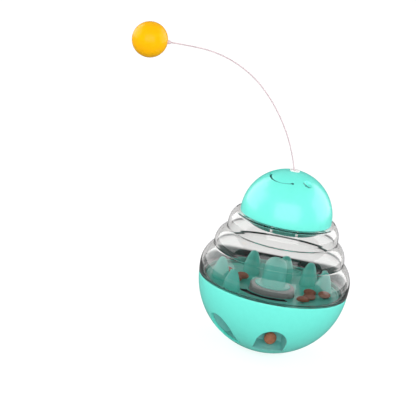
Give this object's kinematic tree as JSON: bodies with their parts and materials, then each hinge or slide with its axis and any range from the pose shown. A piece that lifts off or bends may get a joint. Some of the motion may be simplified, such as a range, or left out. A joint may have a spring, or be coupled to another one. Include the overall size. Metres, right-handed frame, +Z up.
{
  "type": "wobbling treat ball toy",
  "caption": "Self-righting treat ball for a cat: weighted teal bowl, clear stepped dome, round cap and a ball on a springy wire.",
  "frame": {"origin": "centre of the small flat foot that the ball stands on", "axes": "+Z up along the ball's axis, front with the main outlet towards -Y, the wire leans towards -X"},
  "size_m": [0.2216, 0.1308, 0.2663],
  "materials": {
    "teal_plastic": "glossy opaque teal",
    "clear_plastic": "clear, glossy",
    "smoky_plastic": "dark grey, glossy",
    "white_plastic": "white, satin gloss",
    "ballast_iron": "plain turned",
    "screw_steel": "plain",
    "coated_wire": "pale pinkish coating over spring steel",
    "orange_plastic": "glossy yellow-orange",
    "kibble_brown": "dry, matte brown"
  },
  "bodies": {
    "base": {"base_bowl": "teal_plastic", "treat_duct": "teal_plastic", "ballast": "ballast_iron", "ballast_cover": "teal_plastic", "ballast_screws": "screw_steel", "feeder_tray": "teal_plastic", "tray_screws": "screw_steel", "treats": "kibble_brown"},
    "rotor": {"metering_rotor": "smoky_plastic", "control_knob": "teal_plastic", "knob_screw": "screw_steel"},
    "shell": {"clear_shell": "clear_plastic"},
    "cap": {"top_cap": "teal_plastic"},
    "plug": {"wand_plug": "white_plastic"},
    "wand": {"spring_wire": "coated_wire", "ball_collar": "coated_wire", "wand_ball": "orange_plastic"}
  },
  "joints": [
    {"name": "rotor_turn", "type": "hinge", "parent": "base", "child": "rotor", "pos_m": [0, 0, 0.05], "axis": [0, 0, 1], "range_deg": [0, 105]},
    {"name": "shell_twist", "type": "hinge", "parent": "base", "child": "shell", "pos_m": [0, 0, 0.0603], "axis": [0, 0, 1], "range_deg": [0, 25]},
    {"name": "cap_lift", "type": "slide", "parent": "shell", "child": "cap", "axis": [0, 0, 1], "range_m": [0, 0.035]},
    {"name": "plug_swivel", "type": "hinge", "parent": "cap", "child": "plug", "pos_m": [0, 0, 0.1615], "axis": [0, 0, 1], "continuous": true},
    {"name": "wand_sway", "type": "hinge", "parent": "plug", "child": "wand", "pos_m": [0, 0, 0.1595], "axis": [0, 1, 0], "range_deg": [-15, 15], "stiffness_Nm_per_rad": 0.15, "springref_deg": 2.12}
  ]
}
